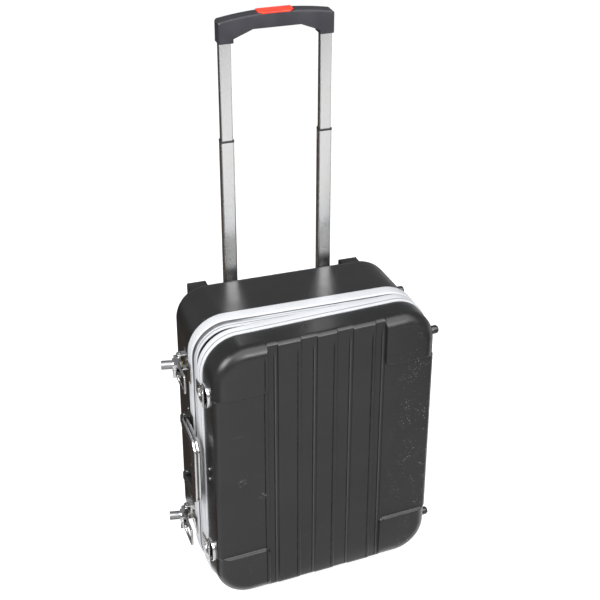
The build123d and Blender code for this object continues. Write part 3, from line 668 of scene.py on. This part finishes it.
def wire(bm, pts, radius, sides=10):
    """Round wire through the points, in case millimetres, with domed ends."""
    v = [Vector(p) for p in pts]
    rings = []
    for i, p in enumerate(v):
        t = (v[min(i + 1, len(v) - 1)] - v[max(i - 1, 0)]).normalized()
        a = t.orthogonal().normalized() if not rings else (last - last.dot(t) * t).normalized()
        last = a
        b = t.cross(a)
        r = radius * (0.45 if i in (0, len(v) - 1) else 1.0)
        rings.append([bm.verts.new(P(*(p + r * (math.cos(k * 2 * math.pi / sides) * a + math.sin(k * 2 * math.pi / sides) * b)))) for k in range(sides)])
    loops_to_faces(bm, rings, False)
    bm.faces.new(rings[0])
    bm.faces.new(list(reversed(rings[-1])))


def strike_roll(name, dz):
    """The flared tab of a strike ends in a rolled edge."""
    bm = bmesh.new()
    path = [(-191.0, -24.0, 14.6), (-191.6, -29.0, 15.4), (-192.6, -34.0, 15.6), (-194.6, -39.5, 15.4), (-196.2, -43.2, 13.6)]
    path += [(-196.6, -44.3, z) for z in (10, 5, 0, -5, -10)] + [(x, y, -z) for x, y, z in reversed(path)]
    wire(bm, [(x, y, z + dz) for x, y, z in path], 1.25)
    o = finish_bm(bm, name + "_strike_roll", M["bright"], 60, LID, 0)
    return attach(o, "lid")


strike_rolls = [strike_roll("upper", 150), strike_roll("lower", -150)]


def strike_wing(name, dz):
    """Round front end of a strike plate, dished inside a raised rim, lying on the lid's side wall."""
    outline = [(-23.0, -18.5), (-23.0, 18.5), (-33.0, 20.8), (-43.0, 18.6), (-49.6, 11.0), (-51.4, 0.0), (-49.6, -11.0), (-43.0, -18.6), (-33.0, -20.8)]
    for _ in range(2):
        ring = []
        for a, b in zip(outline, outline[1:] + outline[:1]):
            ring.append((a[0] * 0.75 + b[0] * 0.25, a[1] * 0.75 + b[1] * 0.25))
            ring.append((a[0] * 0.25 + b[0] * 0.75, a[1] * 0.25 + b[1] * 0.75))
        outline = ring
    bm = bmesh.new()
    loops = []
    for k, x in ((1.0, -186.0), (1.0, -190.9), (0.985, -191.7), (0.945, -192.0), (0.90, -191.7), (0.875, -190.6), (0.80, -189.9), (0.45, -189.5)):
        loops.append([bm.verts.new(P(x, -37.0 + (y + 37.0) * k, z * k + dz)) for y, z in outline])
    loops_to_faces(bm, loops, False)
    bm.faces.new(loops[-1])
    bm.faces.new(list(reversed(loops[0])))
    o = finish_bm(bm, name + "_strike_wing", M["bright"], 50, LID, 0)
    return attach(o, "lid")


strike_wings = [strike_wing("upper", 150), strike_wing("lower", -150)]

# ---------------------------------------------------------------- foam liners
def evaluated(o):
    dg = bpy.context.evaluated_depsgraph_get()
    dg.update()
    return bpy.data.meshes.new_from_object(o.evaluated_get(dg))


def with_modifier(o, kind, **settings):
    """Apply one modifier to the object's mesh."""
    mod = o.modifiers.new("step", kind)
    for k, val in settings.items():
        setattr(mod, k, val)
    me = evaluated(o)
    o.modifiers.remove(mod)
    old = o.data
    o.data = me
    bpy.data.meshes.remove(old)


def coords(mesh):
    a = np.empty(len(mesh.vertices) * 3)
    mesh.vertices.foreach_get("co", a)
    return a.reshape(-1, 3)


def normals(mesh):
    a = np.empty(len(mesh.vertices) * 3)
    mesh.vertices.foreach_get("normal", a)
    return a.reshape(-1, 3)


def swell(o, pressure, cap, frames=20):
    """Blow the closed mesh up a little as cloth, and keep each point within cap metres of its start."""
    rest = coords(o.data)
    mod = o.modifiers.new("cloth", "CLOTH")
    st = mod.settings
    st.quality = 4
    st.mass = 0.3
    st.tension_stiffness = st.compression_stiffness = 30
    st.bending_stiffness = 4
    st.use_pressure = True
    st.uniform_pressure_force = pressure
    st.effector_weights.gravity = 0
    mod.collision_settings.use_collision = False
    mod.collision_settings.use_self_collision = False
    mod.point_cache.frame_start, mod.point_cache.frame_end = 1, frames
    sc = bpy.context.scene
    for f in range(1, frames + 1):
        sc.frame_set(f)
    me = evaluated(o)
    now = coords(me)
    o.modifiers.remove(mod)
    bpy.data.meshes.remove(me)
    sc.frame_set(1)
    d = now - rest
    ln = np.linalg.norm(d, axis=1)
    d *= np.minimum(1.0, cap / np.maximum(ln, 1e-9))[:, None]
    o.data.vertices.foreach_set("co", (rest + d).ravel())
    o.data.update()


def settle(o, factor, times):
    """Even out the mesh, as cut foam rounds over at its edges."""
    me = o.data
    ev = np.empty(len(me.edges) * 2, dtype=np.int64)
    me.edges.foreach_get("vertices", ev)
    ev = ev.reshape(-1, 2)
    c = coords(me)
    n = np.bincount(ev.ravel(), minlength=len(c)).astype(float)[:, None]
    for _ in range(times):
        acc = np.zeros_like(c)
        np.add.at(acc, ev[:, 0], c[ev[:, 1]])
        np.add.at(acc, ev[:, 1], c[ev[:, 0]])
        c = c + factor * (acc / n - c)
    me.vertices.foreach_set("co", c.ravel())
    me.update()


def base_foam_piece():
    """Dense block with cut bays: the cut edges are rounded over and the faces stand a little crowned."""
    o = bpy.data.objects.new("base_foam_visual", frame["nodes"]["base_foam"].data.copy())
    bpy.context.scene.collection.objects.link(o)
    with_modifier(o, "REMESH", mode="VOXEL", voxel_size=0.0064)
    settle(o, 0.5, 3)
    nm = normals(o.data)
    o.data.vertices.foreach_set("co", (coords(o.data) - nm * 0.0011).ravel())
    o.data.update()
    swell(o, 4.0, 0.0013)
    settle(o, 0.4, 2)
    with_modifier(o, "SUBSURF", levels=1)
    o.data.materials.clear()
    o.data.materials.append(M["foam"])
    o.data.shade_smooth()
    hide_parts("base_foam")
    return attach(o, "base")


def lid_foam_piece():
    """Egg-crate sheet: rows of rounded peaks and hollows facing the base, flat back and straight cut sides."""
    half_w, half_h, rc = HALF_W - 13.6, HALF_H - 13.6, CORNER - 13.6
    top, back, depth, pitch = 16.4, 58.2, 15.0, 34.0
    step = 4.25
    nx, nz = int(round(2 * half_w / step)), int(round(2 * half_h / step))
    bm = bmesh.new()

    def fit(x, z):
        # keep the grid inside the rounded outline
        cx, cz = half_w - rc, half_h - rc
        ax, az = abs(x), abs(z)
        if ax > cx and az > cz:
            dx, dz = ax - cx, az - cz
            m = max(dx, dz)
            d = math.hypot(dx, dz)
            f = m / d if d > 1e-9 else 1.0
            ax, az = cx + dx * f, cz + dz * f
        return math.copysign(ax, x), math.copysign(az, z)

    def height(x, z):
        wave = 0.5 + 0.5 * math.sin(2 * math.pi * x / pitch) * math.sin(2 * math.pi * z / pitch)
        wave = wave ** 0.85
        wob = noise.noise(Vector((x * 0.02, z * 0.02, 3.0)))
        return top + depth * (1 - wave) * (1.0 + 0.06 * wob) + 0.8 * wob + 0.6

    front, rear = [], []
    for j in range(nz + 1):
        fr, rr = [], []
        for i in range(nx + 1):
            x, z = fit(-half_w + 2 * half_w * i / nx, -half_h + 2 * half_h * j / nz)
            fr.append(bm.verts.new(P(x, -height(x, z), z)))
            rr.append(bm.verts.new(P(x, -back, z)))
        front.append(fr)
        rear.append(rr)
    for j in range(nz):
        for i in range(nx):
            bm.faces.new([front[j][i], front[j][i + 1], front[j + 1][i + 1], front[j + 1][i]])
            bm.faces.new([rear[j][i], rear[j + 1][i], rear[j + 1][i + 1], rear[j][i + 1]])
    edge = ([(0, i) for i in range(nx)] + [(j, nx) for j in range(nz)] + [(nz, i) for i in range(nx, 0, -1)] + [(j, 0) for j in range(nz, 0, -1)])
    rings = []
    levels = 5
    for k in range(1, levels):
        t = k / levels
        ring_k = []
        for j, i in edge:
            a, b = front[j][i].co, rear[j][i].co
            mid = a.lerp(b, t)
            pull = 0.0007 * math.sin(math.pi * t)          # the cut side draws in a little
            c = P(0, 0, 0)
            dx, dz = mid.x - c.x, mid.z - c.z
            ln = math.hypot(dx, dz)
            ring_k.append(bm.verts.new((mid.x - pull * dx / ln, mid.y, mid.z - pull * dz / ln)))
        rings.append(ring_k)
    rows = [[front[j][i] for j, i in edge]] + rings + [[rear[j][i] for j, i in edge]]
    loops_to_faces(bm, rows, False)
    o = finish_bm(bm, "lid_foam_visual", M["lid_foam"], 0, LID, 0)
    settle(o, 0.3, 1)
    with_modifier(o, "SUBSURF", levels=1)
    o.data.shade_smooth()
    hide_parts("lid_foam")
    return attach(o, "lid")


base_foam = base_foam_piece()
lid_foam = lid_foam_piece()

# ---------------------------------------------------------------- stage, lights, camera
scene = bpy.context.scene
scene.view_settings.view_transform = "Standard"
scene.view_settings.look = "None"


def stage_mesh(name, verts, material, camera=True):
    me = bpy.data.meshes.new(name)
    me.from_pydata(verts, [], [list(range(len(verts)))])
    o = bpy.data.objects.new(name, me)
    scene.collection.objects.link(o)
    me.materials.append(material)
    o.visible_camera = camera
    return o


def flat_material(name, colour, rough=0.9, glow=0.0):
    m = bpy.data.materials.new(name)
    m.use_nodes = True
    b = m.node_tree.nodes["Principled BSDF"]
    b.inputs["Base Color"].default_value = (*colour, 1)
    b.inputs["Roughness"].default_value = rough
    b.inputs["Specular IOR Level"].default_value = 0.0
    b.inputs["Emission Color"].default_value = (1, 1, 1, 1)
    b.inputs["Emission Strength"].default_value = glow
    return m


stage_mesh("floor", [(-2.6, -2.4, -0.0002), (2.6, -2.4, -0.0002), (2.6, 2.6, -0.0002), (-2.6, 2.6, -0.0002)],
           flat_material("floor_white", (0.50, 0.50, 0.50), 0.9, 0.80))


def mirror_card(name, verts, material):
    """A card that only mirror-like reflections see."""
    o = stage_mesh(name, verts, material, camera=False)
    o.visible_diffuse = o.visible_shadow = o.visible_transmission = False
    return o


def graded(name, stops_y, stops_x):
    """Glowing card, graded along y and x."""
    m, nt, b, v = tree(name)
    nt.nodes.remove(b)
    sep = nt.nodes.new("ShaderNodeSeparateXYZ")
    nt.links.new(v, sep.inputs[0])
    gy = remap(nt, sep.outputs[1], *stops_y)
    gx = ramp(nt, remap(nt, sep.outputs[0], -1.0, 1.0, 0.0, 1.0), [((x + 1) / 2, val / 4) for x, val in stops_x])
    e = nt.nodes.new("ShaderNodeEmission")
    nt.links.new(mul(nt, mul(nt, gy, gx), 4.0), e.inputs[1])
    out = next(n for n in nt.nodes if n.type == "OUTPUT_MATERIAL")
    nt.links.new(e.outputs[0], out.inputs[0])
    return m


# the left sides mirror a dark floor, the lid's front and the bars mirror a graded pale one
mirror_card("card_left", [(-2.4, -0.12, 0.002), (-0.20, -0.12, 0.002), (-0.20, 3.6, 0.002), (-2.4, 3.6, 0.002)],
            flat_material("card_brown", (0.066, 0.052, 0.043)))
mirror_card("card_back", [(-0.20, 0.16, 0.002), (1.2, 0.16, 0.002), (1.2, 3.6, 0.002), (-0.20, 3.6, 0.002)],
            flat_material("card_back_brown", (0.066, 0.052, 0.043)))
mirror_card("card_near", [(-2.0, -1.05, 0.002), (2.3, -1.05, 0.002), (2.3, -0.15, 0.002), (-2.0, -0.15, 0.002)],
            graded("card_pale", (-0.15, -1.05, 0.70, 1.05),
                   ((-0.95, 0.2), (-0.52, 0.25), (-0.42, 1.25), (-0.26, 1.25), (-0.15, 1.08), (0.0, 1.0), (0.42, 0.86), (0.70, 0.35), (0.95, 0.2))))
mirror_card("card_far", [(-2.0, -2.3, 0.002), (2.3, -2.3, 0.002), (2.3, -1.05, 0.002), (-2.0, -1.05, 0.002)],
            graded("card_white", (-1.05, -2.3, 1.0, 1.05), ((-0.95, 1.0), (0.95, 1.0))))

world = bpy.data.worlds.new("studio")
scene.world = world
world.use_nodes = True
wn = world.node_tree
wn.nodes.clear()
wout = wn.nodes.new("ShaderNodeOutputWorld")
seen = wn.nodes.new("ShaderNodeBackground")
seen.inputs[0].default_value = (1, 1, 1, 1)
seen.inputs[1].default_value = 1.0
fill = wn.nodes.new("ShaderNodeBackground")
fill.inputs[0].default_value = (0.96, 0.97, 1.0, 1)
fill.inputs[1].default_value = 0.30
lp = wn.nodes.new("ShaderNodeLightPath")
wm = wn.nodes.new("ShaderNodeMixShader")
wn.links.new(lp.outputs["Is Camera Ray"], wm.inputs[0])
wn.links.new(fill.outputs[0], wm.inputs[1])
wn.links.new(seen.outputs[0], wm.inputs[2])
wn.links.new(wm.outputs[0], wout.inputs[0])


def area(name, direction, distance, size, power, colour=(1, 1, 1), target=None):
    target = target or Vector((0, 0, 0.3))
    d = Vector(direction).normalized()
    l = bpy.data.lights.new(name, "AREA")
    l.shape = "RECTANGLE"
    l.size, l.size_y = size
    l.energy = power
    l.color = colour
    o = bpy.data.objects.new(name, l)
    scene.collection.objects.link(o)
    o.location = target + d * distance
    o.rotation_mode = "QUATERNION"
    o.rotation_quaternion = (-d).to_track_quat("-Z", "Y")
    return o


area("key_front", (0.29, -0.82, 0.45), 2.4, (0.9, 0.8), 15)
area("key_top", (0.24, -0.55, 0.80), 2.5, (3.0, 2.7), 78)
area("side_left", (-0.69, -0.42, 0.60), 2.2, (1.1, 1.1), 46)

cam_data = bpy.data.cameras.new("camera")
cam = bpy.data.objects.new("camera", cam_data)
scene.collection.objects.link(cam)
az, el, roll = math.radians(-18.64), math.radians(29.62), math.radians(0.12)
back = Vector((math.sin(az) * math.cos(el), -math.cos(az) * math.cos(el), math.sin(el)))
right = (-back).cross(Vector((0, 0, 1))).normalized()
up = right.cross(-back).normalized()
r2 = math.cos(roll) * right + math.sin(roll) * up
u2 = -math.sin(roll) * right + math.cos(roll) * up
m = Matrix((r2, u2, back)).transposed().to_4x4()
m.translation = P(-594.4, -1722.1, 1538.6 - ZC * 1000)
cam.matrix_world = m
cam_data.sensor_width = 36
cam_data.lens = 1343.5 * 36 / 600
cam_data.clip_start, cam_data.clip_end = 0.05, 60
scene.camera = cam
